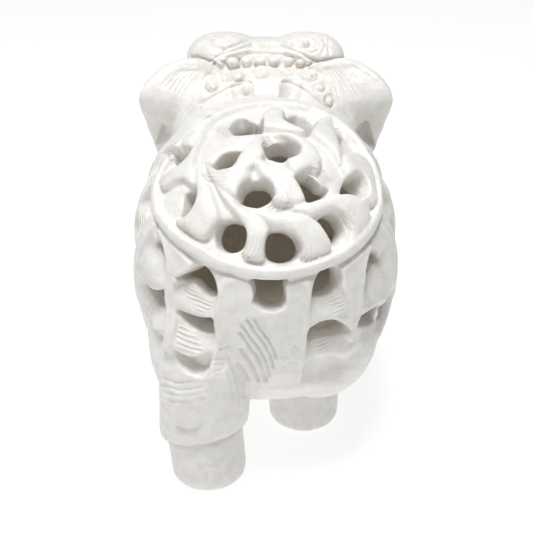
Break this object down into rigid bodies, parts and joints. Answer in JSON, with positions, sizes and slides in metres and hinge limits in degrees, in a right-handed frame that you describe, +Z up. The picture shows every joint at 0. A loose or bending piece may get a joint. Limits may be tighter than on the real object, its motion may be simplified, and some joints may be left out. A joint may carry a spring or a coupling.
{
  "type": "carved elephant ornament",
  "caption": "Walking elephant carved in white marble, its hollow body pierced as a lattice round a rosette on the rump.",
  "frame": {"origin": "on the ground, under the middle of the bounding box", "axes": "+Z up, the elephant faces -Y, its right side is at -X"},
  "size_m": [0.077, 0.1303, 0.0995],
  "materials": {
    "marble": "softly polished white marble with fine tool marks"
  },
  "bodies": {
    "root": {"elephant": "marble"}
  },
  "joints": []
}
